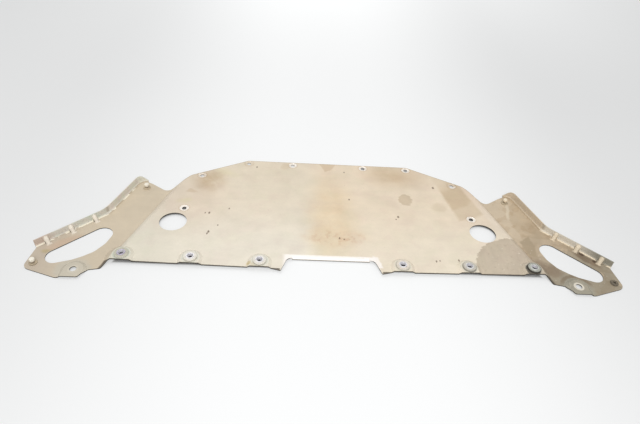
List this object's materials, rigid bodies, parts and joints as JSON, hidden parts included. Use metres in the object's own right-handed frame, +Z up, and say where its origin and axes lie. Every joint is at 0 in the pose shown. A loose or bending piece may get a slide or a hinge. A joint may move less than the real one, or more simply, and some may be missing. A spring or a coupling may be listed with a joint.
{
  "type": "underbody cover",
  "caption": "Pressed sheet underbody cover for a car's front end, with a stepped middle plate, slotted wings with upturned flanges, bolt collars and locating pins.",
  "frame": {"origin": "bottom centre of the part's box, on the surface that the wings lie on", "axes": "+X across the car, towards the wing that has lost its pin; +Y from the notched front edge to the straight rear edge; +Z up, towards the car, with the collars and pins on that side"},
  "size_m": [1.2134, 0.417, 0.02],
  "materials": {
    "sheet": "dull, under a dry film of road dirt",
    "collar": "dull grey zinc, stained",
    "grommet": "matte, dusty",
    "pin": "smooth moulded, slightly dirty"
  },
  "bodies": {
    "root": {"panel": "sheet", "collar_left_outer": "collar", "collar_left_middle": "collar", "collar_left_inner": "collar", "collar_right_inner": "collar", "collar_right_middle": "collar", "collar_right_outer": "collar", "grommet_left_tip": "grommet", "grommet_left_rear": "grommet", "grommet_right_rear": "grommet", "grommet_right_tip": "grommet", "pin_left_tip": "pin", "pin_left_rear": "pin", "pin_right_rear": "pin"}
  },
  "joints": []
}
